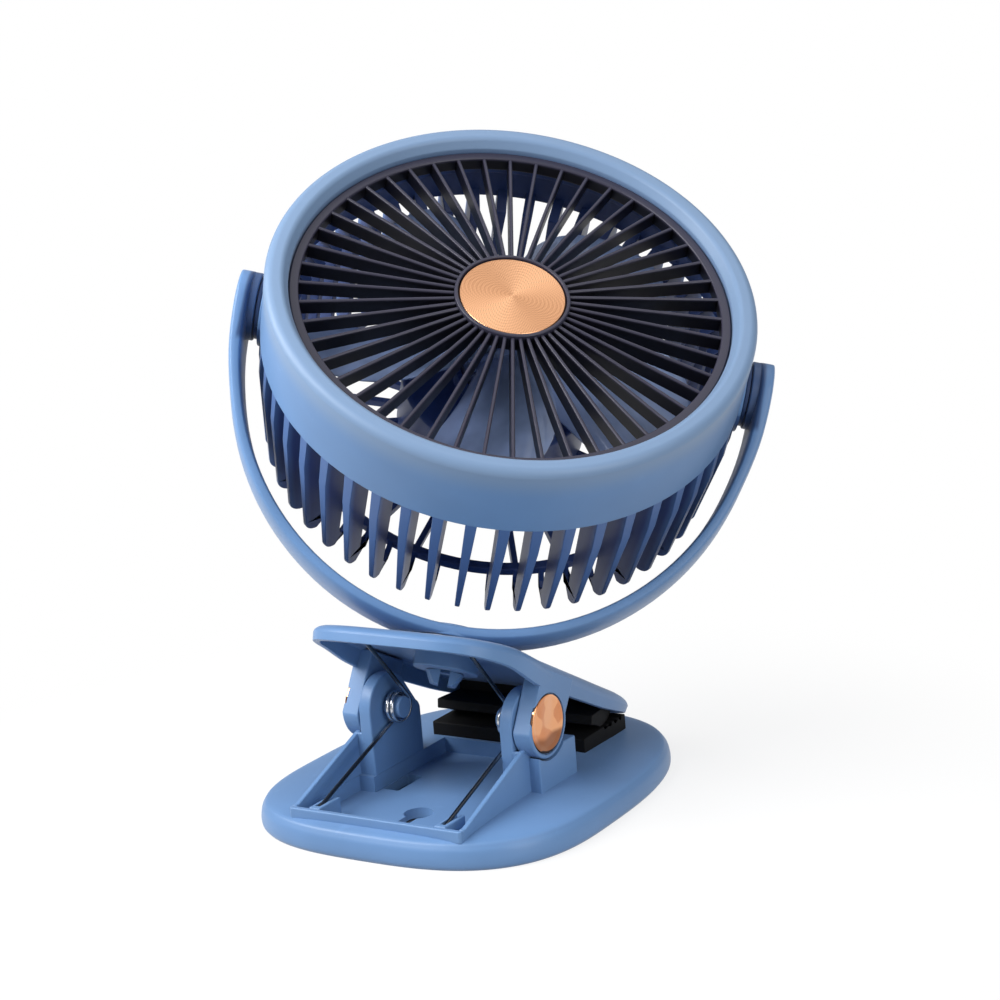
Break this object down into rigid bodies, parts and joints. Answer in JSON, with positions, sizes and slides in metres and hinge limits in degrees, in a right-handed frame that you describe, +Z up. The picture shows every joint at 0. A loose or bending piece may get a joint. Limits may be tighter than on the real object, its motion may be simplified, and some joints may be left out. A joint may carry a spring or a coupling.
{
  "type": "clip fan",
  "caption": "Round slatted fan head that tilts in a U-shaped yoke, which swivels on the upper jaw of a spring clip whose lower jaw is a flat foot.",
  "frame": {"origin": "on the surface the base stands on, straight below the clip's hinge axis and midway between its ears", "axes": "+X along the hinge axis, +Y towards the clip's mouth, +Z up"},
  "size_m": [0.1716, 0.1913, 0.2179],
  "materials": {
    "body_blue": "satin injection-moulded blue",
    "pad_black": "matt black rubber",
    "copper_trim": "polished copper-coloured plating, turned rings on the front disc",
    "bright_steel": "bright steel",
    "white_plastic": "smooth white plastic",
    "grille_grey": "satin grey-violet",
    "blade_smoke": "smoky see-through slate blue",
    "board_green": "satin solder mask",
    "switch_black": "matt black",
    "cell_sleeve": "shrink sleeve"
  },
  "bodies": {
    "base": {"base_plate": "body_blue", "bottom_cover": "body_blue", "cover_screw_1": "bright_steel", "cover_screw_2": "bright_steel", "cover_screw_3": "bright_steel", "cover_screw_4": "bright_steel", "lower_pad": "pad_black", "clip_spring_left": "bright_steel", "clip_spring_right": "bright_steel"},
    "jaw": {"upper_jaw": "body_blue", "upper_pad": "pad_black", "hinge_pin_left": "body_blue", "hinge_pin_right": "body_blue", "hinge_cap_left": "copper_trim", "hinge_cap_right": "copper_trim"},
    "yoke": {"yoke": "body_blue", "swivel_post": "body_blue", "swivel_washer": "white_plastic", "tilt_pin_left": "bright_steel", "tilt_pin_right": "bright_steel", "tilt_washer_left": "pad_black", "tilt_washer_right": "pad_black"},
    "head": {"drum_housing": "body_blue", "front_grille": "grille_grey", "hub_disc": "copper_trim", "motor_housing": "bright_steel", "rear_cover": "body_blue", "rear_screw_1": "bright_steel", "rear_screw_2": "bright_steel", "rear_screw_3": "bright_steel", "circuit_board": "board_green", "usb_port": "bright_steel", "tact_switch": "switch_black", "charge_light": "white_plastic", "battery_cell": "cell_sleeve"},
    "rotor": {"impeller": "blade_smoke", "motor_shaft": "bright_steel", "shaft_cap": "grille_grey"},
    "button": {"speed_button": "white_plastic"}
  },
  "joints": [
    {"name": "clip_hinge", "type": "hinge", "parent": "base", "child": "jaw", "pos_m": [0, 0, 0.03234], "axis": [1, 0, 0], "range_deg": [0, 30], "stiffness_Nm_per_rad": 0.8, "springref_deg": -57.3, "deforming": ["clip_spring_left", "clip_spring_right"]},
    {"name": "yoke_swivel", "type": "hinge", "parent": "jaw", "child": "yoke", "pos_m": [0, 0.0029, 0.0567], "axis": [0, 0.4625, 0.8866], "continuous": true},
    {"name": "head_tilt", "type": "hinge", "parent": "yoke", "child": "head", "pos_m": [0, 0.04943, 0.14589], "axis": [0.8377, 0.4842, -0.2526], "continuous": true},
    {"name": "fan_spin", "type": "hinge", "parent": "head", "child": "rotor", "pos_m": [0, 0.04943, 0.14589], "axis": [0.467, -0.3954, 0.7909], "continuous": true},
    {"name": "button_press", "type": "slide", "parent": "head", "child": "button", "axis": [0.467, -0.3954, 0.7909], "range_m": [0, 0.001], "stiffness_N_per_m": 800, "springref_m": -0.0003}
  ]
}
